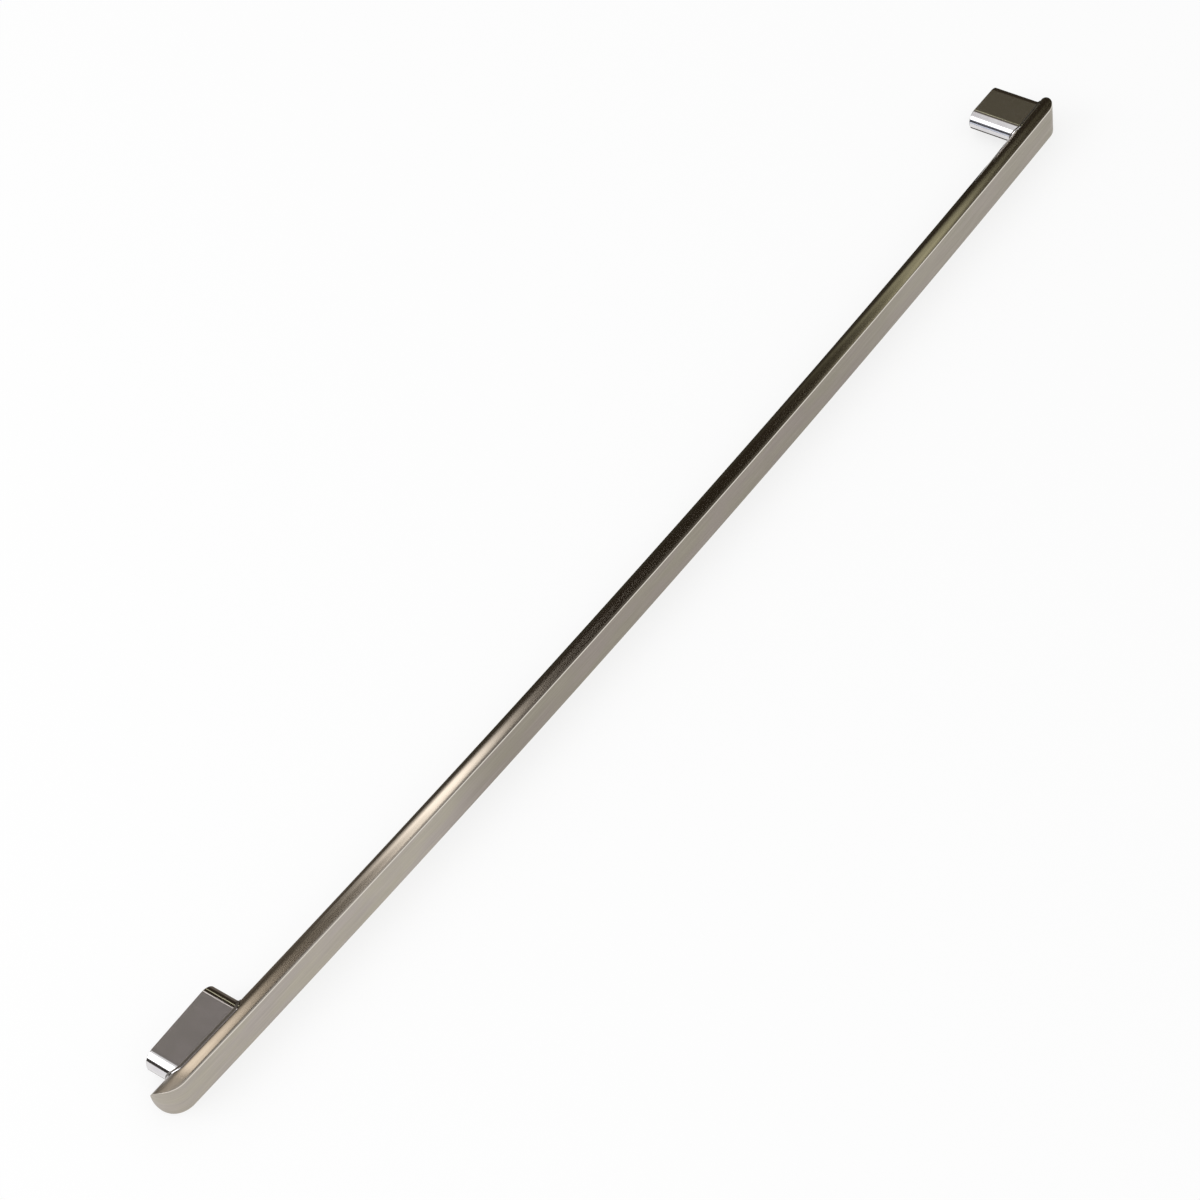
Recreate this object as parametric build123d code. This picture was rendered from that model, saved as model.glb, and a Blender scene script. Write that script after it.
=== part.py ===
from build123d import *
import math
import os

# Refrigerator door handle, lying on its side.
# X runs along the door from the wide post to the narrow one, Y points at the door, Z is up.
# The door face is the plane Y = 0, and the origin is the middle of the wide post's foot.

# Places along the bar
POST_SPACING = 744.0          # between the two post centres
WIDE_POST_OVERHANG = 38.0     # from the bar's tip to the wide post's centre
NARROW_POST_OVERHANG = 17.5   # from the bar's other tip to the narrow post's centre

# Grip bar
BAR_FACE_HEIGHT = 20.0        # flat brushed face, edge to edge
BAR_DEPTH = 14.0              # from the face to the crown of the half-round back
BAR_BOW = 7.5                 # rise of the face at mid length over its two ends
BAR_FACE_LAND = 0.8           # straight part of the sides, just behind the face
BAR_END_FLAT = 0.3            # short straight between the two plan radii of an end
BAR_TIP_RADIUS = 2.5          # plan radius that runs out across the crown at each tip
BAR_TIP_RUNOUT = 1.6          # how far beyond the crown that radius would end
BAR_EDGE_BREAK = 0.5          # rounding along both edges of the face and round its wrapped ends
BAR_LOFT_SECTIONS = 5         # equal sections along the bow that the bar is drawn through

# Posts
WIDE_POST_WIDTH = 51.5        # along the bar
WIDE_POST_THICKNESS = 15.0
WIDE_POST_STANDOFF = 29.5     # from the door to the bar's face
NARROW_POST_WIDTH = 32.5
NARROW_POST_THICKNESS = 13.0
NARROW_POST_STANDOFF = 42.5
POST_FLARE_RADIUS = 1.3       # hollow blend where a post spreads onto the bar
POST_FLARE_SPREAD = 1.1       # how far the flare stands out from the post's sides
POST_LIP = 0.3                # thickness of the flare's rim
POST_FOOT_BEVEL = 0.4         # edge break round the foot that meets the door
SADDLE_CLEARANCE = 0.1        # between a post's saddle and the bar's back

# Door stud sockets and the set screws that lock them
STUD_BORE_DIAMETER = 6.4
STUD_BORE_DEPTH = 10.0
SET_SCREW_DIAMETER = 4.0
SET_SCREW_LENGTH = 3.0
SET_SCREW_BACK_OFF = 0.1      # between its tip and the stud bore's wall
SET_SCREW_FROM_FOOT = 6.0
SET_SCREW_HEX = 2.0           # across the flats
SET_SCREW_HEX_DEPTH = 1.5
SET_SCREW_BEVEL = 0.3

# Screws that hold the posts to the bar
BAR_SCREW_DIAMETER = 4.0
BAR_SCREW_LENGTH = 12.0       # under the head
BAR_SCREW_HEAD_DIAMETER = 7.0
BAR_SCREW_HEAD_HEIGHT = 4.0
BAR_SCREW_HEX = 3.0
BAR_SCREW_HEX_DEPTH = 2.0
BAR_SCREW_BEVEL = 0.4
WIDE_SCREW_OFFSET = 15.0      # from the post's centre, one each side
NARROW_SCREW_OFFSET = 10.2
SCREW_SEAT_WEB = 4.0          # metal between a screw head and the crown of the bar's back
HEAD_CLEARANCE = 0.3          # round a head, on the radius
SHANK_CLEARANCE = 0.25        # round a shank in its post, on the radius
THREAD_CLEARANCE = 0.1        # round a screw in its tapped hole, on the radius
TAP_RUNOUT = 1.0              # tapped hole beyond the screw's end

# Sizes worked out from the ones above
BAR_LENGTH = POST_SPACING + WIDE_POST_OVERHANG + NARROW_POST_OVERHANG    # tip to tip
BAR_END_RADIUS = BAR_DEPTH + BAR_TIP_RUNOUT - BAR_TIP_RADIUS - BAR_END_FLAT    # carries the face round
BOW_RADIUS = ((BAR_LENGTH / 2) ** 2 + BAR_BOW**2) / (2 * BAR_BOW)
BOW_AXIS = Axis((BAR_LENGTH / 2, BOW_RADIUS - BAR_BOW, 0), (0, 0, 1))


def bow_at(distance):
    """Rise of the bar's face over the line through its ends, at a distance from the near tip."""
    from_middle = distance - BAR_LENGTH / 2
    return math.sqrt(BOW_RADIUS**2 - from_middle**2) - (BOW_RADIUS - BAR_BOW)


WIDE_CHORD_STANDOFF = WIDE_POST_STANDOFF - bow_at(WIDE_POST_OVERHANG)
NARROW_CHORD_STANDOFF = NARROW_POST_STANDOFF - bow_at(BAR_LENGTH - NARROW_POST_OVERHANG)
BAR_LEAN = math.atan2(NARROW_CHORD_STANDOFF - WIDE_CHORD_STANDOFF, POST_SPACING)


def place_bar(shape):
    """Bring a shape from the bar's own frame, near tip at zero and face towards -Y, to the door."""
    leaned = shape.rotate(Axis.Z, -math.degrees(BAR_LEAN))
    near_tip_x = -WIDE_POST_OVERHANG * math.cos(BAR_LEAN)
    near_tip_y = -WIDE_CHORD_STANDOFF + WIDE_POST_OVERHANG * math.sin(BAR_LEAN)
    return leaned.translate((near_tip_x, near_tip_y, 0))


def bar_section(growth):
    """Half-round back on a straight-sided front, in the plane across the bar at mid length."""
    half_height = BAR_FACE_HEIGHT / 2 + growth
    land_end = BAR_FACE_LAND - BAR_BOW
    depth = BAR_DEPTH - BAR_FACE_LAND + growth
    front = land_end - 2 * BAR_DEPTH
    with BuildSketch(Plane.YZ.offset(BAR_LENGTH / 2)) as section:
        with BuildLine():
            back = EllipticalCenterArc((land_end, 0), depth, half_height, -90, arc_size=180)
            Polyline(back @ 1, (front, half_height), (front, -half_height), back @ 0)
        make_face()
    return section.sketch


def bow_angle(distance):
    """Turn about the bow's axis from mid length to a distance from the near tip, in degrees."""
    return math.degrees(math.asin((distance - BAR_LENGTH / 2) / BOW_RADIUS))


def section_at(growth, distance):
    """The bar's section, square to the bow, at a distance from the near tip."""
    return bar_section(growth).rotate(BOW_AXIS, bow_angle(distance))


def straight_stretch(growth, distance, half_length):
    """Straight piece of the bar's section, tangent to the bow at a distance from the near tip."""
    return place_bar(extrude(section_at(growth, distance), amount=half_length, both=True))


def bar_outline():
    """Plan of the bar: two bowed long sides, with the face carried round to the back at both ends."""
    with BuildSketch() as outline:
        with Locations((BAR_LENGTH / 2, BOW_RADIUS - BAR_BOW)):
            Circle(BOW_RADIUS)
            Circle(BOW_RADIUS - BAR_DEPTH - BAR_TIP_RUNOUT, mode=Mode.SUBTRACT)
        with Locations((BAR_LENGTH / 2, 0)):
            Rectangle(BAR_LENGTH, 4 * (BAR_DEPTH + BAR_BOW), mode=Mode.INTERSECT)
        fillet(outline.vertices().sort_by(Axis.Y)[:2], BAR_END_RADIUS)
        fillet(outline.vertices().sort_by(Axis.Y)[-2:], BAR_TIP_RADIUS)
    return outline.sketch


def bar_form():
    """The bar without its holes, in its own frame, with the edges of its face broken."""
    middle = (BAR_LOFT_SECTIONS - 1) / 2
    step = (BAR_LENGTH / 2 + BAR_DEPTH) / middle
    stations = [BAR_LENGTH / 2 + (index - middle) * step for index in range(BAR_LOFT_SECTIONS)]
    bowed = loft([section_at(0, distance) for distance in stations])
    form = bowed & extrude(bar_outline(), amount=BAR_FACE_HEIGHT, both=True)
    face_edges = [edge for edge in form.edges() if abs(edge.center().Z) > 0.4 * BAR_FACE_HEIGHT]
    return fillet(face_edges, BAR_EDGE_BREAK)


def stadium(width, thickness, centre_x):
    """Outline of a post with fully rounded ends, on the door face, looking at the bar."""
    with BuildSketch(facing_bar(centre_x, 0)) as outline:
        SlotOverall(width, thickness)
    return outline.sketch


def facing_bar(x, distance):
    """Plane at a distance from the door face, with its normal towards the bar."""
    return Plane(origin=(x, -distance, 0), x_dir=(1, 0, 0), z_dir=(0, -1, 0))


def facing_floor(x, height):
    """Plane across a set screw's axis, with its normal downwards."""
    return Plane(origin=(x, -SET_SCREW_FROM_FOOT, height), x_dir=(1, 0, 0), z_dir=(0, 0, -1))


def rod(plane, radius, length):
    return extrude(plane * Circle(radius), amount=length)


def post_shell(width, thickness, standoff, centre_x, tip_distance):
    """Rounded column that spreads through a hollow flare onto the bar's back."""
    column = extrude(stadium(width, thickness, centre_x), amount=standoff - BAR_DEPTH / 2)
    joined = column + straight_stretch(SADDLE_CLEARANCE + POST_LIP, tip_distance, width)
    seam = [
        edge
        for edge in joined.edges()
        if edge.geom_type != GeomType.LINE
        and abs(edge.center().X - centre_x) < 0.6 * width
        and abs(edge.center().Z) < 0.6 * thickness
        and 1 - standoff < edge.center().Y < -1
    ]
    flared = fillet(seam, POST_FLARE_RADIUS)
    spread = 2 * POST_FLARE_SPREAD
    limit = extrude(stadium(width + spread, thickness + spread, centre_x), amount=standoff)
    shell = (flared & limit) - straight_stretch(SADDLE_CLEARANCE, tip_distance, width)
    foot_edges = shell.edges().filter_by_position(Axis.Y, -0.01, 0.01)
    return chamfer(foot_edges, POST_FOOT_BEVEL)


def screw_seat(standoff):
    """Distance from the door face to the seats of the bar screws' heads."""
    return standoff - BAR_DEPTH - SCREW_SEAT_WEB


def screw_bore(x, standoff):
    """Stepped hole for one bar screw, from the foot to beyond the saddle."""
    seat = screw_seat(standoff)
    shank_bore = rod(facing_bar(x, seat), BAR_SCREW_DIAMETER / 2 + SHANK_CLEARANCE, BAR_SCREW_LENGTH)
    return shank_bore + rod(facing_bar(x, 0), BAR_SCREW_HEAD_DIAMETER / 2 + HEAD_CLEARANCE, seat)


def post(width, thickness, standoff, centre_x, tip_distance, screw_places):
    """Cast post, bored from its foot for the door's stud and for the screws that hold the bar."""
    shell = post_shell(width, thickness, standoff, centre_x, tip_distance)
    stud_bore = rod(facing_bar(centre_x, 0), STUD_BORE_DIAMETER / 2, STUD_BORE_DEPTH)
    set_screw_tap = rod(facing_floor(centre_x, 0), SET_SCREW_DIAMETER / 2 + THREAD_CLEARANCE, thickness)
    return shell - [stud_bore + set_screw_tap, *(screw_bore(x, standoff) for x in screw_places)]


def hex_socket(plane, across_flats, depth):
    return extrude(plane * RegularPolygon(across_flats / 2, 6, major_radius=False), amount=depth)


def bar_screw(x, standoff):
    """Socket-head screw, its head on its seat in the post and its end in the bar."""
    seat = screw_seat(standoff)
    head_plane = facing_bar(x, seat - BAR_SCREW_HEAD_HEIGHT)
    head = rod(head_plane, BAR_SCREW_HEAD_DIAMETER / 2, BAR_SCREW_HEAD_HEIGHT)
    head = chamfer(head.edges().sort_by(Axis.Y)[-1], BAR_SCREW_BEVEL)
    shank = rod(facing_bar(x, seat), BAR_SCREW_DIAMETER / 2, BAR_SCREW_LENGTH)
    shank = chamfer(shank.edges().sort_by(Axis.Y)[0], BAR_SCREW_BEVEL)
    return head + shank - hex_socket(head_plane, BAR_SCREW_HEX, BAR_SCREW_HEX_DEPTH)


def set_screw(centre_x):
    """Set screw backed off just clear of the stud bore, with its socket towards the floor."""
    tip = facing_floor(centre_x, -STUD_BORE_DIAMETER / 2 - SET_SCREW_BACK_OFF)
    body = rod(tip, SET_SCREW_DIAMETER / 2, SET_SCREW_LENGTH)
    body = chamfer(body.edges().filter_by(GeomType.CIRCLE), SET_SCREW_BEVEL)
    mouth = facing_floor(centre_x, tip.origin.Z - SET_SCREW_LENGTH)
    return body - hex_socket(mouth, SET_SCREW_HEX, -SET_SCREW_HEX_DEPTH)


def grip_bar(screws):
    """The bar in its place, tapped from the back for every post screw."""
    radius = BAR_SCREW_DIAMETER / 2 + THREAD_CLEARANCE
    length = BAR_SCREW_LENGTH + TAP_RUNOUT
    taps = [rod(facing_bar(x, screw_seat(standoff)), radius, length) for x, standoff in screws]
    return place_bar(bar_form()) - taps


def as_group(shapes):
    return Compound(children=[shape.solid() for shape in shapes])


def main():
    os.makedirs("parts", exist_ok=True)
    wide_places = [-WIDE_SCREW_OFFSET, WIDE_SCREW_OFFSET]
    narrow_places = [POST_SPACING - NARROW_SCREW_OFFSET, POST_SPACING + NARROW_SCREW_OFFSET]
    wide_screws = [(x, WIDE_POST_STANDOFF) for x in wide_places]
    narrow_screws = [(x, NARROW_POST_STANDOFF) for x in narrow_places]
    pieces = {
        "grip_bar": grip_bar(wide_screws + narrow_screws),
        "wide_post": post(
            WIDE_POST_WIDTH, WIDE_POST_THICKNESS, WIDE_POST_STANDOFF, 0, WIDE_POST_OVERHANG, wide_places
        ),
        "narrow_post": post(
            NARROW_POST_WIDTH,
            NARROW_POST_THICKNESS,
            NARROW_POST_STANDOFF,
            POST_SPACING,
            BAR_LENGTH - NARROW_POST_OVERHANG,
            narrow_places,
        ),
        "wide_post_bar_screws": as_group([bar_screw(x, standoff) for x, standoff in wide_screws]),
        "narrow_post_bar_screws": as_group([bar_screw(x, standoff) for x, standoff in narrow_screws]),
        "wide_post_set_screw": set_screw(0),
        "narrow_post_set_screw": set_screw(POST_SPACING),
    }
    for name, shape in pieces.items():
        export_step(shape, f"parts/{name}.step")


main()
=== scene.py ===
import math

import bmesh
import bpy
from mathutils import Euler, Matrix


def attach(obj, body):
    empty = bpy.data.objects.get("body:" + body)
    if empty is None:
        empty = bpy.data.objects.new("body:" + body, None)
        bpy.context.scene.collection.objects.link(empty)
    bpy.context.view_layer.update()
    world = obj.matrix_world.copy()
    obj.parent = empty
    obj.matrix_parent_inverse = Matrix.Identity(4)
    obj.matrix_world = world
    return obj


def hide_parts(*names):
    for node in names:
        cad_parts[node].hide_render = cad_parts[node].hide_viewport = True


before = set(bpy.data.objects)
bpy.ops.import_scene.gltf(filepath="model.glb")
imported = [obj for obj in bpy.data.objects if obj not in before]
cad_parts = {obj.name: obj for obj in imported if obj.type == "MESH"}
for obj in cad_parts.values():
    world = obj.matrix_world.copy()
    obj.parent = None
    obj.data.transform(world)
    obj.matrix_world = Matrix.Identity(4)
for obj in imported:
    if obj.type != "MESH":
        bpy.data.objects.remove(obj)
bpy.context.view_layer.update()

# The handle lies on its side: X runs along the door from the wide post to the narrow one, Y points
# at the door and Z is up. Lengths are in metres, angles in radians unless a name says degrees.

# The bar's form and where it lies. Its tip is the near end of the line through both ends.
BAR_LENGTH = 0.7995
BAR_DEPTH = 0.014
BAR_HALF_HEIGHT = 0.010
BAR_BOW = 0.0075
BAR_FACE_LAND = 0.0008
BAR_END_RADIUS = 0.0128
BAR_TIP_RADIUS = 0.0025
BAR_TIP_RUNOUT = 0.0016
BAR_EDGE_BREAK = 0.0005
BAR_LEAN = math.radians(1.0562)
BAR_TIP = (-0.03799, -0.02744)

# How finely the bar is drawn: points along it and round its whole section
BAR_STATIONS = 421
BAR_RING = 81

# Shares of the half section's steps where its face and then its broken edge end, with a slack that
# keeps a step on the border on its near side
FACE_STEPS = 0.3
EDGE_STEPS = 0.4
STEP_SLACK = 0.001

# The share of the end radius along the bar where the turned face meets the bowed one, the largest
# share of the bar's depth that a broken edge takes, and the distance in which points are joined
WRAP_SHARE = 0.964
EDGE_SHARE = 0.4
MERGE_DISTANCE = 0.000001

# From the middle of one post to the other, and the posts' bored cores: half their lengths along the
# door and half their height
POST_SPACING = 0.744
WIDE_BORED = 0.0189
NARROW_BORED = 0.0139
BORED_HEIGHT = 0.0047

# The bar screws' heads: how far their middles lie beside the middle of a post and before the door,
# their radius, and the fine ridges round them
WIDE_SCREW_OFFSET = 0.015
NARROW_SCREW_OFFSET = 0.0102
WIDE_HEAD_DISTANCE = 0.0097
NARROW_HEAD_DISTANCE = 0.0227
HEAD_RADIUS = 0.0034
RIDGE_RADIUS = 0.00022
RIDGE_LENGTH = 0.0032
RIDGE_COUNT = 34
RIDGE_SIDES = 4

CAMERA_PLACE = (-0.44766, -0.77372, 1.2270)
CAMERA_TURN_DEGREES = (40.6004, 7.7053, -54.4493)
CAMERA_LENS = 93.0974
CAMERA_SENSOR = 36.0
CAMERA_CLIP = (0.05, 50.0)

FLOOR_HEIGHT = -0.0101
FLOOR_HALF = 12.0
FLOOR_WHITE = 0.95
FLOOR_GLOW = 0.75

# Strength of the white room as light, and as the camera sees it above the floor
ROOM_LIGHT = 0.86
ROOM_SEEN = 0.975

LAMP_WATTS = 13.0
LAMP_SIZE = (1.8, 1.2)
LAMP_PLACE = (-1.15, 1.15, 1.25)

# Where the reflected boards begin, just above the floor, and where the wall stands
BOARD_LOW = FLOOR_HEIGHT + 0.0004
WALL_Y = 1.2


def colour(red, green, blue):
    """A colour that lets nothing through."""
    return (red, green, blue, 1.0)


class Sheet:
    """A material or a node group that is being drawn, with short ways to add and join its nodes."""

    def __init__(self, tree):
        self.tree = tree

    def add(self, kind, inputs=None, **settings):
        """New node with these settings, and with values or links for its inputs."""
        node = self.tree.nodes.new(kind)
        for name, value in settings.items():
            setattr(node, name, value)
        for socket, value in (inputs or {}).items():
            self.put(node, socket, value)
        return node

    def put(self, node, socket, value):
        if isinstance(value, bpy.types.NodeSocket):
            self.tree.links.new(value, node.inputs[socket])
        else:
            node.inputs[socket].default_value = value

    def math(self, operation, first, second=0.0, third=0.0):
        return self.add("ShaderNodeMath", {0: first, 1: second, 2: third}, operation=operation).outputs[0]

    def ramp(self, value, low, high, to_low=0.0, to_high=1.0):
        """Smooth change from one number to another while value goes from low to high."""
        inputs = {"Value": value, "From Min": low, "From Max": high, "To Min": to_low, "To Max": to_high}
        return self.add("ShaderNodeMapRange", inputs, interpolation_type="SMOOTHSTEP").outputs["Result"]

    def mix(self, share, first, second):
        """Blend of two colours."""
        node = self.add("ShaderNodeMix", data_type="RGBA")
        self.put(node, 0, share)
        self.put(node, 6, first)
        self.put(node, 7, second)
        return node.outputs[2]

    def mix_number(self, share, first, second):
        """Blend of two plain numbers."""
        return self.add("ShaderNodeMix", {0: share, 2: first, 3: second}).outputs[0]

    def join(self, x=0.0, y=0.0, z=0.0):
        return self.add("ShaderNodeCombineXYZ", {0: x, 1: y, 2: z}).outputs[0]

    def place(self, turn=(0, 0, 0), shift=(0, 0, 0), scale=(1, 1, 1), vector=None):
        """Object coordinates, or another vector, shifted, turned and scaled."""
        if vector is None:
            vector = self.add("ShaderNodeTexCoord").outputs["Object"]
        inputs = {"Vector": vector, "Location": shift, "Rotation": turn, "Scale": scale}
        return self.add("ShaderNodeMapping", inputs).outputs[0]

    def parts(self, vector):
        return self.add("ShaderNodeSeparateXYZ", {0: vector}).outputs

    def normal_parts(self):
        return self.parts(self.add("ShaderNodeNewGeometry").outputs["Normal"])

    def cloud(self, vector, scale, detail=2.0, roughness=0.5):
        inputs = {"Vector": vector, "Scale": scale, "Detail": detail, "Roughness": roughness}
        return self.add("ShaderNodeTexNoise", inputs).outputs["Fac"]

    def relief(self, height, strength, distance):
        inputs = {"Strength": strength, "Distance": distance, "Height": height}
        return self.add("ShaderNodeBump", inputs).outputs[0]


def new_group(name, inputs, outputs):
    """An empty shader node group with named sockets, the sheet to draw it on and its inputs."""
    tree = bpy.data.node_groups.new(name, "ShaderNodeTree")
    for label, kind, value in inputs:
        socket = tree.interface.new_socket(label, in_out="INPUT", socket_type=kind)
        if value is not None:
            socket.default_value = value
    for label in outputs:
        tree.interface.new_socket(label, in_out="OUTPUT", socket_type="NodeSocketFloat")
    sheet = Sheet(tree)
    entry = sheet.add("NodeGroupInput").outputs
    return tree, sheet, entry


def brushed_grain():
    """Fine scratches along X, from a vector in metres: an even grain, broken by a few longer strokes."""
    inputs = [
        ("Vector", "NodeSocketVector", None),
        ("Pitch", "NodeSocketFloat", 0.0002),
        ("Stroke", "NodeSocketFloat", 0.02),
    ]
    tree, sheet, entry = new_group("brushed_grain", inputs, ["Grain", "Strokes"])
    metres = sheet.parts(entry["Vector"])
    along = sheet.math("DIVIDE", metres["X"], entry["Stroke"])
    across = sheet.math("DIVIDE", metres["Y"], entry["Pitch"])
    height = sheet.math("DIVIDE", metres["Z"], entry["Pitch"])
    fine = sheet.join(along, across, height)
    grain = sheet.cloud(fine, 1.0, detail=3.0, roughness=0.65)
    wide = sheet.place(vector=fine, scale=(0.35, 0.16, 0.16), shift=(7.3, 2.1, 4.7))
    strokes = sheet.cloud(wide, 1.0, detail=2.0)
    sheet.add("NodeGroupOutput", {"Grain": grain, "Strokes": sheet.ramp(strokes, 0.35, 0.7)})
    return tree


def handled_film():
    """Mask of the faint uneven film that hands leave on polished or satin metal."""
    inputs = [
        ("Vector", "NodeSocketVector", None),
        ("Patch", "NodeSocketFloat", 0.03),
    ]
    tree, sheet, entry = new_group("handled_film", inputs, ["Film"])
    spread = sheet.math("DIVIDE", 1.0, entry["Patch"])
    scaled = sheet.add("ShaderNodeVectorMath", {0: entry["Vector"], "Scale": spread}, operation="SCALE")
    film = sheet.cloud(scaled.outputs[0], 1.0, detail=4.0, roughness=0.6)
    sheet.add("NodeGroupOutput", {"Film": sheet.ramp(film, 0.35, 0.75)})
    return tree


def group_node(sheet, tree, **inputs):
    """Outputs of a shader node group, placed on a sheet with these inputs."""
    node = sheet.add("ShaderNodeGroup", node_tree=tree)
    for name, value in inputs.items():
        sheet.put(node, name, value)
    return node.outputs


def new_material(name):
    """An empty material and the sheet to draw it on."""
    made = bpy.data.materials.new(name)
    made.use_nodes = True
    made.node_tree.nodes.clear()
    return made, Sheet(made.node_tree)


def dress(piece, made):
    """Give a piece this one material."""
    piece.data.materials.clear()
    piece.data.materials.append(made)


def finish_metal(sheet, shade, rough, relief):
    """Metal with this shade, roughness and relief, as the sheet's output."""
    shader = sheet.add("ShaderNodeBsdfPrincipled", {"Base Color": shade, "Metallic": 1.0, "Roughness": rough,
                                                    "Normal": relief})
    sheet.add("ShaderNodeOutputMaterial", {"Surface": shader.outputs[0]})


class Plan(Sheet):
    """A geometry node group that is being drawn."""

    def __init__(self, name, sizes, counts):
        super().__init__(bpy.data.node_groups.new(name, "GeometryNodeTree"))
        for label, value in sizes.items():
            self.socket(label, "NodeSocketFloat").default_value = value
        for label, value in counts.items():
            self.socket(label, "NodeSocketInt").default_value = value
        self.socket("Material", "NodeSocketMaterial")
        self.socket("Geometry", "NodeSocketGeometry", "OUTPUT")
        self.entry = self.add("NodeGroupInput").outputs

    def socket(self, label, kind, direction="INPUT"):
        return self.tree.interface.new_socket(label, in_out=direction, socket_type=kind)

    def finish(self, geometry):
        """Real faces with the material, as the group's output."""
        real = self.add("GeometryNodeRealizeInstances", {"Geometry": geometry})
        inputs = {"Geometry": real.outputs[0], "Material": self.entry["Material"]}
        finished = self.add("GeometryNodeSetMaterial", inputs)
        self.add("NodeGroupOutput", {"Geometry": finished.outputs[0]})
        return self.tree

    def pick(self, value, limit, at_most, above):
        """One number where value is at most the limit, and another above it."""
        over = self.math("GREATER_THAN", value, limit)
        return self.add("GeometryNodeSwitch", {0: over, 1: at_most, 2: above}, input_type="FLOAT").outputs[0]

    def rise(self, radius, off):
        """Height of a circle of this radius at a distance off its middle, or nothing beyond it."""
        square = self.math("SUBTRACT", self.math("MULTIPLY", radius, radius), self.math("MULTIPLY", off, off))
        return self.math("SQRT", self.math("MAXIMUM", square, 0.0))

    def blend(self, share, first, second):
        return self.math("MULTIPLY_ADD", share, self.math("SUBTRACT", second, first), first)

    def clamp(self, value):
        return self.math("MINIMUM", self.math("MAXIMUM", value, 0.0), 1.0)

    def along_range(self, value, low, high):
        """Value as a share of the way from low to high, kept between 0 and 1."""
        return self.clamp(self.math("DIVIDE", self.math("SUBTRACT", value, low), high - low))


def under_bow(radius, depth, x):
    """Y of a point of the bar's plan at a depth behind the bowed face, X from the near tip."""
    half = BAR_LENGTH / 2
    bow_radius = (half ** 2 + BAR_BOW ** 2) / (2 * BAR_BOW)
    return bow_radius - BAR_BOW - math.sqrt((bow_radius - depth - radius) ** 2 - (x - half) ** 2)


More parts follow.
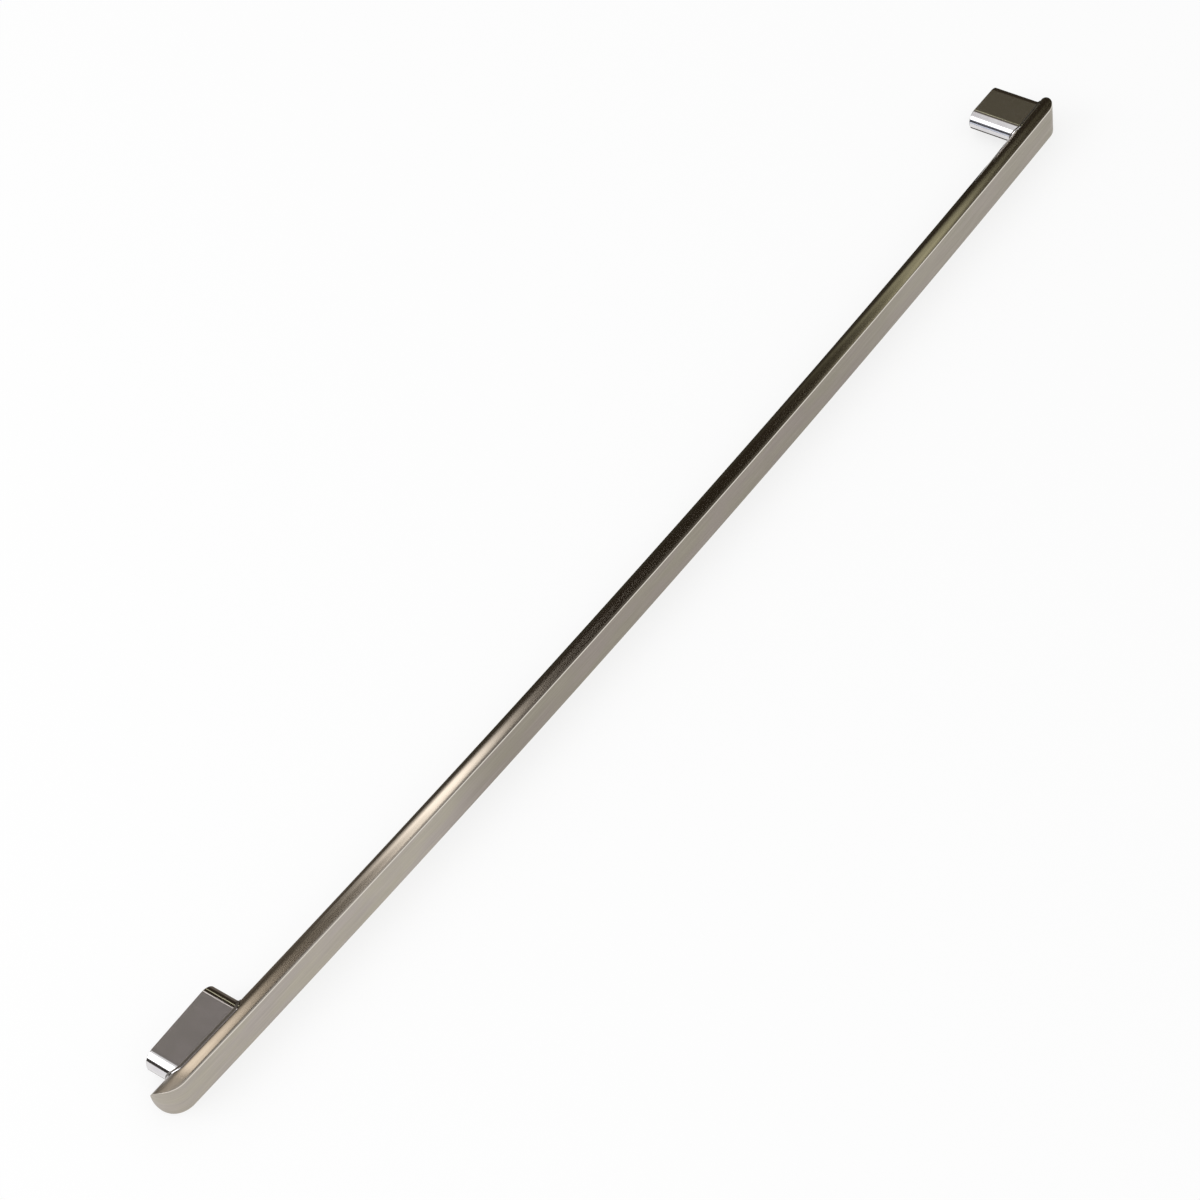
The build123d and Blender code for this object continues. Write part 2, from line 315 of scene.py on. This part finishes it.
def bar_tree():
    """Geometry nodes that bend a grid round the bar's section and along its bow."""
    sizes = {
        "Length": BAR_LENGTH, "Depth": BAR_DEPTH, "Half Height": BAR_HALF_HEIGHT, "Bow": BAR_BOW,
        "Face Land": BAR_FACE_LAND, "End Radius": BAR_END_RADIUS, "Tip Radius": BAR_TIP_RADIUS,
        "Edge Break": BAR_EDGE_BREAK,
        "End Centre": under_bow(BAR_END_RADIUS, 0.0, BAR_END_RADIUS),
        "Tip Centre": under_bow(-BAR_TIP_RADIUS, BAR_DEPTH + BAR_TIP_RUNOUT, BAR_TIP_RADIUS),
        "Lean": -BAR_LEAN, "Tip X": BAR_TIP[0], "Tip Y": BAR_TIP[1],
    }
    plan = Plan("bowed_bar", sizes, {"Stations": BAR_STATIONS, "Ring": BAR_RING})
    entry = plan.entry
    counts = {"Vertices X": entry["Stations"], "Vertices Y": entry["Ring"]}
    grid = plan.add("GeometryNodeMeshGrid", {"Size X": 1.0, "Size Y": 1.0, **counts})
    on_grid = plan.parts(plan.add("GeometryNodeInputPosition").outputs[0])

    # Stations crowd together toward the ends, where the plan turns quickly
    half_length = plan.math("MULTIPLY", entry["Length"], 0.5)
    turn = plan.math("MULTIPLY_ADD", on_grid["X"], math.pi, math.pi / 2)
    from_middle = plan.math("MULTIPLY", plan.math("COSINE", turn), -1.0)
    x = plan.math("MULTIPLY_ADD", from_middle, half_length, half_length)
    to_end = plan.math("SUBTRACT", 1.0, plan.math("ABSOLUTE", from_middle))
    to_end = plan.math("MULTIPLY", to_end, half_length)
    bowed = plan.math("SUBTRACT", plan.math("MULTIPLY", from_middle, from_middle), 1.0)
    face = plan.math("MULTIPLY", bowed, entry["Bow"])

    # The face turns back round each end, and the back is trimmed at the very tip
    off = plan.math("SUBTRACT", to_end, entry["End Radius"])
    wrap = plan.math("SUBTRACT", entry["End Centre"], plan.rise(entry["End Radius"], off))
    wrap_end = plan.math("MULTIPLY", entry["End Radius"], WRAP_SHARE)
    front = plan.pick(to_end, wrap_end, wrap, face)
    off = plan.math("SUBTRACT", entry["Tip Radius"], plan.math("MINIMUM", to_end, entry["Tip Radius"]))
    trimmed = plan.math("ADD", entry["Tip Centre"], plan.rise(entry["Tip Radius"], off))
    back = plan.math("MINIMUM", plan.math("ADD", face, entry["Depth"]), trimmed)
    broken = plan.math("MULTIPLY", plan.math("SUBTRACT", back, front), EDGE_SHARE)
    broken = plan.math("MINIMUM", entry["Edge Break"], broken)

    # The half-round back is an ellipse behind a narrow straight land
    arc_depth = plan.math("SUBTRACT", entry["Depth"], entry["Face Land"])

    def arc_angle(depth):
        share = plan.math("DIVIDE", plan.math("SUBTRACT", depth, entry["Face Land"]), arc_depth)
        return plan.math("ARCSINE", plan.clamp(share))

    def half_height(depth):
        return plan.math("MULTIPLY", plan.math("COSINE", arc_angle(depth)), entry["Half Height"])

    # Half of the section, from the middle of the face over the edge to the crown of the back
    ring = plan.math("MULTIPLY", on_grid["Y"], 2.0)
    step = plan.math("SUBTRACT", 1.0, plan.math("ABSOLUTE", ring))
    side = plan.math("SIGN", plan.math("MULTIPLY", ring, -1.0))
    front_depth = plan.math("SUBTRACT", front, face)
    edge_depth = plan.math("ADD", front_depth, broken)
    corner = half_height(front_depth)
    inset = plan.math("SUBTRACT", corner, broken)
    flat_z = plan.math("MULTIPLY", plan.along_range(step, 0.0, FACE_STEPS), inset)
    over = plan.along_range(step, FACE_STEPS, EDGE_STEPS)
    edge_y = plan.math("MULTIPLY_ADD", plan.math("MULTIPLY", over, over), broken, front)
    edge_z = plan.blend(over, corner, half_height(edge_depth))
    edge_z = plan.blend(over, plan.blend(over, inset, corner), edge_z)
    round_share = plan.along_range(step, EDGE_STEPS, 1.0)
    angle = plan.blend(round_share, arc_angle(edge_depth), arc_angle(plan.math("SUBTRACT", back, face)))
    arc_y = plan.math("ADD", face, entry["Face Land"])
    arc_y = plan.math("MULTIPLY_ADD", plan.math("SINE", angle), arc_depth, arc_y)
    arc_z = plan.math("MULTIPLY", plan.math("COSINE", angle), entry["Half Height"])
    y = plan.pick(step, FACE_STEPS + STEP_SLACK, front, edge_y)
    y = plan.pick(step, EDGE_STEPS + STEP_SLACK, y, arc_y)
    z = plan.pick(step, FACE_STEPS + STEP_SLACK, flat_z, edge_z)
    z = plan.pick(step, EDGE_STEPS + STEP_SLACK, z, arc_z)
    place = plan.join(x, y, plan.math("MULTIPLY", z, side))

    shaped = plan.add("GeometryNodeSetPosition", {"Geometry": grid.outputs["Mesh"], "Position": place})
    laid = plan.add("GeometryNodeTransform", {"Geometry": shaped.outputs[0],
                                              "Translation": plan.join(entry["Tip X"], entry["Tip Y"]),
                                              "Rotation": plan.join(z=entry["Lean"])})
    inputs = {"Geometry": laid.outputs[0], "Distance": MERGE_DISTANCE}
    joined = plan.add("GeometryNodeMergeByDistance", inputs)
    smooth = plan.add("GeometryNodeSetShadeSmooth", {"Geometry": joined.outputs[0]})
    return plan.finish(smooth.outputs[0])


def grown_mesh(name, tree, values):
    """Plain mesh object that a geometry node group makes, with these values for its named inputs."""
    seed = bpy.data.objects.new(name + "_seed", bpy.data.meshes.new(name + "_seed"))
    bpy.context.scene.collection.objects.link(seed)
    modifier = seed.modifiers.new(name, "NODES")
    modifier.node_group = tree
    for item in tree.interface.items_tree:
        if item.in_out == "INPUT" and item.name in values:
            modifier[item.identifier] = values[item.name]
    seen = seed.evaluated_get(bpy.context.evaluated_depsgraph_get())
    mesh = bpy.data.meshes.new_from_object(seen)
    mesh.name = name
    bpy.data.objects.remove(seed)
    made = bpy.data.objects.new(name, mesh)
    bpy.context.scene.collection.objects.link(made)
    return made


def close_ends(piece):
    """Cap the open ends and turn all faces outward."""
    body = bmesh.new()
    body.from_mesh(piece.data)
    bmesh.ops.holes_fill(body, edges=[edge for edge in body.edges if edge.is_boundary])
    bmesh.ops.recalc_face_normals(body, faces=body.faces)
    body.to_mesh(piece.data)
    body.free()


def make_bar(look):
    """The bar with evenly spaced faces, so that reflections run clean along it."""
    bar = grown_mesh("bowed_bar", bar_tree(), {"Material": look})
    close_ends(bar)
    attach(bar, "root")
    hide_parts("grip_bar")


def knurl_tree():
    """Geometry nodes that set fine ridges round the heads of a pair of screws."""
    sizes = {
        "Head Radius": HEAD_RADIUS, "Ridge Radius": RIDGE_RADIUS, "Ridge Length": RIDGE_LENGTH,
        "Post X": 0.0, "Screw Offset": WIDE_SCREW_OFFSET, "Distance": WIDE_HEAD_DISTANCE,
    }
    plan = Plan("head_knurls", sizes, {"Ridges": RIDGE_COUNT})
    entry = plan.entry
    ridge = plan.add("GeometryNodeMeshCylinder", {"Vertices": RIDGE_SIDES, "Radius": entry["Ridge Radius"],
                                                  "Depth": entry["Ridge Length"]})
    head = plan.add("GeometryNodeMeshCircle", {"Vertices": entry["Ridges"], "Radius": entry["Head Radius"]})
    ridges = plan.add("GeometryNodeInstanceOnPoints", {"Points": head.outputs[0],
                                                       "Instance": ridge.outputs["Mesh"]})
    along_y = (math.pi / 2, 0, 0)
    upright = plan.add("GeometryNodeTransform", {"Geometry": ridges.outputs[0], "Rotation": along_y})
    first = plan.join(plan.math("SUBTRACT", entry["Post X"], entry["Screw Offset"]),
                      plan.math("MULTIPLY", entry["Distance"], -1.0))
    spacing = plan.join(plan.math("MULTIPLY", entry["Screw Offset"], 2.0))
    pair = plan.add("GeometryNodeMeshLine", {"Count": 2, "Start Location": first, "Offset": spacing})
    both = plan.add("GeometryNodeInstanceOnPoints", {"Points": pair.outputs[0],
                                                     "Instance": upright.outputs[0]})
    return plan.finish(both.outputs[0])


def make_knurls(look):
    """Knurled rims of the socket heads, seen down the bores of both posts."""
    tree = knurl_tree()
    for name, post_x, offset, distance in (
            ("wide_post_head_knurls", 0.0, WIDE_SCREW_OFFSET, WIDE_HEAD_DISTANCE),
            ("narrow_post_head_knurls", POST_SPACING, NARROW_SCREW_OFFSET, NARROW_HEAD_DISTANCE)):
        values = {"Post X": post_x, "Screw Offset": offset, "Distance": distance, "Material": look}
        knurls = grown_mesh(name, tree, values)
        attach(knurls, "root")


def make_camera():
    """Camera where the reference view was taken from."""
    data = bpy.data.cameras.new("camera")
    data.lens = CAMERA_LENS
    data.sensor_width = CAMERA_SENSOR
    data.clip_start, data.clip_end = CAMERA_CLIP
    camera = bpy.data.objects.new("camera", data)
    camera.location = CAMERA_PLACE
    camera.rotation_euler = Euler([math.radians(angle) for angle in CAMERA_TURN_DEGREES])
    bpy.context.scene.collection.objects.link(camera)
    bpy.context.scene.camera = camera


def board(name, corners, made):
    """A flat board of the studio, which is no part of the handle."""
    mesh = bpy.data.meshes.new(name)
    mesh.from_pydata(corners, [], [tuple(range(len(corners)))])
    made_board = bpy.data.objects.new(name, mesh)
    bpy.context.scene.collection.objects.link(made_board)
    dress(made_board, made)
    return made_board


def make_floor():
    """White floor that glows a little for the camera and in reflections, and keeps a faint soft shadow."""
    made, sheet = new_material("pale_floor")
    paper = sheet.add("ShaderNodeBsdfDiffuse", {"Color": colour(FLOOR_WHITE, FLOOR_WHITE, FLOOR_WHITE)})
    glow = sheet.add("ShaderNodeEmission", {"Color": colour(1, 1, 1), "Strength": 1.0})
    ray = sheet.add("ShaderNodeLightPath").outputs
    seen = sheet.math("MAXIMUM", ray["Is Camera Ray"], ray["Is Glossy Ray"])
    seen = sheet.math("MAXIMUM", seen, ray["Is Transmission Ray"])
    share = sheet.math("MULTIPLY", seen, FLOOR_GLOW)
    both = sheet.add("ShaderNodeMixShader", {0: share, 1: paper.outputs[0], 2: glow.outputs[0]})
    sheet.add("ShaderNodeOutputMaterial", {"Surface": both.outputs[0]})
    corners = [(side * FLOOR_HALF, end * FLOOR_HALF, FLOOR_HEIGHT)
               for side, end in ((-1, -1), (1, -1), (1, 1), (-1, 1))]
    board("floor", corners, made)


def reflected_board(name, corners, shades):
    """A board that glows with its own drawing, shows in reflections, and blocks neither lamps nor camera."""
    made, sheet = new_material(name)
    shade, strength = shades(sheet)
    glow = sheet.add("ShaderNodeEmission", {"Color": shade, "Strength": strength})
    sheet.add("ShaderNodeOutputMaterial", {"Surface": glow.outputs[0]})
    made_board = board(name, corners, made)
    made_board.visible_camera = False
    made_board.visible_diffuse = False
    made_board.visible_shadow = False
    made_board.visible_volume_scatter = False
    made_board.visible_transmission = False


# The wall's glow, seen only in reflections, first near the handle and then farther along, for its lower part
# and its top
WALL_BROWN = colour(0.09, 0.075, 0.055)
WALL_DARK = colour(0.034, 0.026, 0.017)
OVERHEAD_GREY = colour(0.208, 0.19, 0.176)
OVERHEAD_DARK = colour(0.092, 0.08, 0.055)

# Glowing streaks painted on the wall, which show only as painted reflections in the metal: where each starts
# at the height of the handle's middle, how far it leans for its height and how far it reaches to either side,
# then its light.
# The olive one goes on into the wall's top, and the cream one with only a part of its strength.
NEAR_STREAK = (0.325, 0.17, 0.115)
NEAR_LIGHT = colour(2.3, 2.05, 1.75)
CREAM_STREAK = (0.632, 0.25, 0.135)
CREAM_LIGHT = colour(3.2, 3.0, 2.78)
CREAM_OVERHEAD = 0.3
OLIVE_STREAK = (1.315, 0.5, 0.125)
OLIVE_LIGHT = colour(1.14, 1.11, 0.76)


def wall_shades(sheet):
    """Glow of the dark wall behind the handle, seen only in reflections: two warm painted streaks of light
    that start between the posts, an olive one past them, and a greyer top."""
    place = sheet.parts(sheet.place())
    along, height = place["X"], place["Z"]

    def streak(start, lean, reach):
        middle = sheet.math("MULTIPLY_ADD", height, lean, start)
        off = sheet.math("ABSOLUTE", sheet.math("SUBTRACT", along, middle))
        return sheet.ramp(off, 0.0, reach, 1.0, 0.0)

    # Painted light: glowing streaks that the bar and posts show only as reflections
    low = sheet.ramp(height, 1.6, 1.85, 1.0, 0.0)
    lit = sheet.math("MULTIPLY", low, sheet.ramp(height, 0.1, 0.6, 0.18, 1.0))
    olive = streak(*OLIVE_STREAK)
    olive_lit = sheet.math("MULTIPLY", lit, sheet.ramp(height, 0.5, 1.1, 0.64, 1.0))
    near = streak(*NEAR_STREAK)
    cream = streak(*CREAM_STREAK)
    shade = sheet.mix(sheet.ramp(along, 0.74, 0.95), WALL_BROWN, WALL_DARK)
    for patch, share, light in ((olive, olive_lit, OLIVE_LIGHT), (near, lit, NEAR_LIGHT),
                                (cream, lit, CREAM_LIGHT)):
        shade = sheet.mix(sheet.math("MULTIPLY", patch, share), shade, light)
    overhead = sheet.mix(sheet.ramp(along, 1.1, 2.4), OVERHEAD_GREY, OVERHEAD_DARK)
    overhead = sheet.mix(sheet.math("MULTIPLY", cream, CREAM_OVERHEAD), overhead, CREAM_LIGHT)
    overhead = sheet.mix(olive, overhead, OLIVE_LIGHT)
    return sheet.mix(sheet.math("SUBTRACT", 1.0, low), shade, overhead), 1.0


def make_wall():
    """Glowing wall behind the handle, seen only in reflections, which stands higher past the narrow post."""
    left, right, foot = -0.25, 9.0, -0.3
    low_top, high_top = 2.35, 3.4
    slope_start, slope_end = 1.15, 1.5
    corners = [(left, foot), (right, foot), (right, high_top), (slope_end, high_top),
               (slope_start, low_top), (left, low_top)]
    reflected_board("glow_wall", [(x, WALL_Y, z) for x, z in corners], wall_shades)


def cloth_shades(sheet):
    """Its glow: brown near the wide post, nearly black farther along."""
    along = sheet.parts(sheet.place())["X"]
    brown, dark = colour(0.16, 0.135, 0.11), colour(0.05, 0.043, 0.03)
    return sheet.mix(sheet.ramp(along, 0.0, 0.3), brown, dark), 1.0


def make_cloth():
    """Dark glowing sheet low down from just behind the bar to the wall, with a notch beside the narrow post,
    seen only in reflections as painted dark reflections in the metal.
    """
    left, right = -0.026, 5.0
    gap_start, gap_end, gap_back = 0.708, 0.7275, 0.022
    near_front, middle_front, far_front = -0.018, -0.030, -0.034
    middle = 0.37
    corners = [(left, near_front), (middle, middle_front), (gap_start, far_front), (gap_start, gap_back),
               (gap_end, gap_back), (gap_end, far_front), (right, far_front), (right, WALL_Y), (left, WALL_Y)]
    reflected_board("dark_glow_sheet", [(x, y, BOARD_LOW) for x, y in corners], cloth_shades)


def strip_shades(sheet):
    """Its glow: bluish at its far end, warm grey close to the wide post."""
    along = sheet.parts(sheet.place())["X"]
    blue, grey = colour(0.06, 0.085, 0.15), colour(0.045, 0.04, 0.035)
    return sheet.mix(sheet.ramp(along, -0.8, -0.3), blue, grey), 1.0


def make_strip():
    """Dark glowing upright strip, seen only in reflections, that runs slanting from beside the wide post to
    the wall and grows taller; it paints a dark reflection in the metal.
    """
    near_x, far_x = -0.20, -1.0
    near_top, far_top = 0.08, 0.42
    corners = [(near_x, 0.0, BOARD_LOW), (far_x, WALL_Y, BOARD_LOW), (far_x, WALL_Y, far_top),
               (near_x, 0.0, near_top)]
    reflected_board("dark_glow_strip", corners, strip_shades)


def card_shades(sheet):
    """Bluish white toward the narrow post, dark on the back."""
    front = sheet.math("SUBTRACT", 1.0, sheet.add("ShaderNodeNewGeometry").outputs["Backfacing"])
    return colour(0.76, 0.82, 0.95), front


def make_card():
    """Low glowing white card behind the bar, between the posts and close to the narrow one, seen only in
    reflections: a painted bluish reflection on the narrow post's rounded end.
    """
    x, top = 0.706, -0.0032
    front, back = -0.036, 0.022
    corners = [(x, back, BOARD_LOW), (x, back, top), (x, front, top), (x, front, BOARD_LOW)]
    reflected_board("white_glow_card", corners, card_shades)


def make_room():
    """White room all round, a little brighter where the camera sees it than where it lights."""
    world = bpy.data.worlds.new("studio")
    world.use_nodes = True
    world.node_tree.nodes.clear()
    sheet = Sheet(world.node_tree)
    seen = sheet.add("ShaderNodeLightPath").outputs["Is Camera Ray"]
    strength = sheet.mix_number(seen, ROOM_LIGHT, ROOM_SEEN)
    room = sheet.add("ShaderNodeBackground", {"Color": colour(1, 1, 1), "Strength": strength})
    sheet.add("ShaderNodeOutputWorld", {"Surface": room.outputs[0]})
    bpy.context.scene.world = world


def make_lamp():
    """Soft box above and past the wide post, turned toward the post's foot."""
    lamp = bpy.data.lights.new("soft_box", "AREA")
    lamp.shape = "RECTANGLE"
    lamp.size, lamp.size_y = LAMP_SIZE
    lamp.energy = LAMP_WATTS
    made = bpy.data.objects.new("soft_box", lamp)
    made.location = LAMP_PLACE
    made.rotation_euler = made.location.to_track_quat("Z", "Y").to_euler()
    bpy.context.scene.collection.objects.link(made)


# Tones of the bar: two of its face near the wide post, two darker ones of painted shade on the face past it,
# a lighter one of painted light that is mixed in toward the far end, two of the satin back, and the bright
# worn edge
FACE_WARM = colour(0.458, 0.42, 0.348)
FACE_ROSE = colour(0.446, 0.402, 0.365)
PAINTED_SHADE_FACE_WARM = colour(0.322, 0.291, 0.235)
PAINTED_SHADE_FACE_ROSE = colour(0.326, 0.285, 0.25)
PAINTED_LIGHT_END = colour(0.47, 0.435, 0.37)
PAINTED_LIGHT_SHARE = 0.3
BACK_LIGHT = colour(0.465, 0.43, 0.385)
BACK_DULL = colour(0.43, 0.395, 0.35)
EDGE_BRIGHT = colour(0.86, 0.81, 0.73)

# How rough the bar's parts are at least, and what its near tip adds
FACE_ROUGH = 0.38
BACK_ROUGH = 0.14
EDGE_ROUGH = 0.22
TIP_ROUGH = 0.22

# How much of the back's grain shows as relief, and how little the face's grain changes with depth
BACK_RELIEF = 0.12
DEPTH_SQUEEZE = 0.02


def bar_measures(sheet):
    """Distance along the bar from its near tip, depth behind its bowed face, and height."""
    tip_x = BAR_TIP[0] * math.cos(BAR_LEAN) - BAR_TIP[1] * math.sin(BAR_LEAN)
    tip_y = BAR_TIP[0] * math.sin(BAR_LEAN) + BAR_TIP[1] * math.cos(BAR_LEAN)
    level = sheet.parts(sheet.place(turn=(0, 0, BAR_LEAN), shift=(-tip_x, -tip_y, 0)))
    from_middle = sheet.math("SUBTRACT", sheet.math("MULTIPLY", level["X"], 2 / BAR_LENGTH), 1.0)
    bowed = sheet.math("SUBTRACT", 1.0, sheet.math("MULTIPLY", from_middle, from_middle))
    bow = sheet.math("MULTIPLY", bowed, BAR_BOW)
    return level["X"], sheet.math("ADD", level["Y"], bow), level["Z"]


def bar_masks(sheet):
    """Masks of the bar's flat face and of its narrow broken edge, from where its surface points."""
    normal = sheet.normal_parts()
    upward = sheet.math("ABSOLUTE", normal["Z"])
    not_crown = sheet.ramp(normal["Y"], 0.75, 0.9, 1.0, 0.0)
    face = sheet.math("MULTIPLY", sheet.ramp(upward, 0.15, 0.45, 1.0, 0.0), not_crown)
    edge = sheet.math("MULTIPLY", sheet.ramp(upward, 0.2, 0.45), sheet.ramp(upward, 0.85, 0.97, 1.0, 0.0))
    edge = sheet.math("MULTIPLY", edge, sheet.ramp(normal["Y"], -0.3, -0.05, 1.0, 0.0))
    return face, edge


def face_shade(sheet, along, flat, fine, coarse):
    """The brushed face: warm and rosy patches, painted shade past the wide post, and painted light again at
    the far end.
    """
    tint = sheet.ramp(sheet.cloud(sheet.place(vector=flat, scale=(26, 40, 90)), 1.0, detail=3.0), 0.35, 0.68)
    near = sheet.mix(tint, FACE_WARM, FACE_ROSE)
    far = sheet.mix(tint, PAINTED_SHADE_FACE_WARM, PAINTED_SHADE_FACE_ROSE)
    # Painted shade on the face past the wide post, then painted light toward the far end
    shade = sheet.mix(sheet.ramp(along, 0.18, 0.25), near, far)
    shade = sheet.mix(sheet.ramp(along, 0.55, 0.65, 0.0, PAINTED_LIGHT_SHARE), shade, PAINTED_LIGHT_END)
    worn = sheet.math("MULTIPLY_ADD", fine["Grain"], 0.5, 0.75)
    worn = sheet.math("MULTIPLY_ADD", coarse["Grain"], 0.36, sheet.math("SUBTRACT", worn, 0.18))
    return sheet.add("ShaderNodeVectorMath", {0: shade, "Scale": worn}, operation="SCALE").outputs[0]


def brushed_bar(grain_group, film_group):
    """Lengthwise brushing on the face, a satin back that is duller at the tip, and a bright worn edge."""
    made, sheet = new_material("brushed_bar")
    along, depth, height = bar_measures(sheet)
    face, edge = bar_masks(sheet)
    flat = sheet.join(along, sheet.math("MULTIPLY", depth, DEPTH_SQUEEZE), height)
    fine = group_node(sheet, grain_group, Vector=flat, Pitch=0.00022, Stroke=0.018)
    coarse = group_node(sheet, grain_group, Vector=flat, Pitch=0.0011, Stroke=0.05)
    whole = sheet.join(along, depth, height)
    back_grain = group_node(sheet, grain_group, Vector=whole, Pitch=0.0004, Stroke=0.05)
    film = group_node(sheet, film_group, Vector=whole, Patch=0.045)["Film"]

    back_shade = sheet.mix(film, BACK_LIGHT, BACK_DULL)
    shade = sheet.mix(face, back_shade, face_shade(sheet, along, flat, fine, coarse))
    shade = sheet.mix(edge, shade, EDGE_BRIGHT)

    face_rough = sheet.math("MULTIPLY_ADD", fine["Strokes"], 0.08, FACE_ROUGH)
    back_rough = sheet.math("MULTIPLY_ADD", back_grain["Strokes"], 0.03, BACK_ROUGH)
    back_rough = sheet.math("MULTIPLY_ADD", film, 0.015, back_rough)
    at_tip = sheet.ramp(along, 0.007, 0.021, 1.0, 0.0)
    back_rough = sheet.math("MULTIPLY_ADD", at_tip, TIP_ROUGH, back_rough)
    rough = sheet.mix_number(face, back_rough, face_rough)
    rough = sheet.mix_number(edge, rough, EDGE_ROUGH)
    marks = sheet.mix_number(face, sheet.math("MULTIPLY", back_grain["Grain"], BACK_RELIEF), fine["Grain"])
    finish_metal(sheet, shade, rough, sheet.relief(marks, 0.25, 0.00006))
    return made


# Tones of the posts: two of the plate, the painted shade at the root where the post meets the bar, and two of
# the bare cut metal
PLATE_LIGHT = colour(0.75, 0.74, 0.742)
PLATE_DULL = colour(0.69, 0.665, 0.685)
ROOT_PAINTED_SHADE = colour(0.2, 0.187, 0.172)
CUT_DARK = colour(0.40, 0.40, 0.405)
CUT_LIGHT = colour(0.56, 0.555, 0.55)

# How rough the plate is at least, and what bare cut metal and the root add
PLATE_ROUGH = 0.07
CUT_ROUGH = 0.3
ROOT_ROUGH = 0.35

# How much deeper the cutting marks are than the polishing lines, and half the width of the soft
# border round a bored core
CUT_RELIEF = 6.0
BORE_BORDER = 0.0002


def near_axis(sheet, value, centre, reach):
    """Mask of what lies within a reach of a centre, with a soft border."""
    off = sheet.math("ABSOLUTE", sheet.math("SUBTRACT", value, centre))
    return sheet.ramp(off, reach - BORE_BORDER, reach + BORE_BORDER, 1.0, 0.0)


def polished_post(grain_group, film_group):
    """Buffed plate with fine polishing lines and a faint film, rougher at the bar with painted shade there,
    and bare metal with cutting marks in the bores and on the foot."""
    made, sheet = new_material("polished_post")
    place = sheet.place()
    at = sheet.parts(place)
    facing_door = sheet.normal_parts()["Y"]
    film = group_node(sheet, film_group, Vector=place, Patch=0.012)["Film"]
    lines = group_node(sheet, grain_group, Vector=place, Pitch=0.0005, Stroke=0.012)["Grain"]
    marks = group_node(sheet, grain_group, Vector=place, Pitch=0.00012, Stroke=0.006)["Grain"]

    # The root, where the post flares into the bar: rougher, and darkened with painted shade
    off_foot = sheet.ramp(at["Y"], -0.009, -0.005, 1.0, 0.0)
    root = sheet.math("MULTIPLY", sheet.ramp(facing_door, 0.01, 0.13), off_foot)
    bored = sheet.math("MAXIMUM", near_axis(sheet, at["X"], 0.0, WIDE_BORED),
                       near_axis(sheet, at["X"], POST_SPACING, NARROW_BORED))
    bored = sheet.math("MULTIPLY", bored, near_axis(sheet, at["Z"], 0.0, BORED_HEIGHT))
    cut = sheet.math("MAXIMUM", bored, sheet.ramp(facing_door, 0.9, 0.97))

    shade = sheet.mix(film, PLATE_LIGHT, PLATE_DULL)
    # Painted shade at the root of the post
    shade = sheet.mix(root, shade, ROOT_PAINTED_SHADE)
    shade = sheet.mix(cut, shade, sheet.mix(marks, CUT_DARK, CUT_LIGHT))
    rough = sheet.math("MULTIPLY_ADD", film, 0.05, PLATE_ROUGH)
    rough = sheet.math("MULTIPLY_ADD", cut, CUT_ROUGH, rough)
    rough = sheet.math("MULTIPLY_ADD", lines, 0.03, rough)
    rough = sheet.math("MULTIPLY_ADD", root, ROOT_ROUGH, rough)
    height = sheet.math("MULTIPLY_ADD", sheet.math("MULTIPLY", cut, marks), CUT_RELIEF, lines)
    finish_metal(sheet, shade, rough, sheet.relief(height, 0.05, 0.00003))
    return made


STEEL_LIGHT = colour(0.46, 0.46, 0.47)
STEEL_DULL = colour(0.36, 0.36, 0.375)
STEEL_ROUGH = 0.24


def screw_steel(grain_group, film_group):
    """Plain grey screw steel with a short grain and a faint film."""
    made, sheet = new_material("screw_steel")
    place = sheet.place()
    grain = group_node(sheet, grain_group, Vector=place, Pitch=0.0003, Stroke=0.0008)["Grain"]
    film = group_node(sheet, film_group, Vector=place, Patch=0.002)["Film"]
    shade = sheet.mix(film, STEEL_LIGHT, STEEL_DULL)
    rough = sheet.math("MULTIPLY_ADD", grain, 0.2, STEEL_ROUGH)
    finish_metal(sheet, shade, rough, sheet.relief(grain, 0.2, 0.00005))
    return made


bpy.context.scene.view_settings.view_transform = "Standard"
make_camera()
make_floor()
make_wall()
make_cloth()
make_strip()
make_card()
make_room()
make_lamp()

grain_group = brushed_grain()
film_group = handled_film()
bar_look = brushed_bar(grain_group, film_group)
post_look = polished_post(grain_group, film_group)
screw_look = screw_steel(grain_group, film_group)
looks = {"grip_bar": bar_look, "wide_post": post_look, "narrow_post": post_look}
for name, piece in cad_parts.items():
    dress(piece, looks.get(name, screw_look))
make_bar(bar_look)
make_knurls(screw_look)
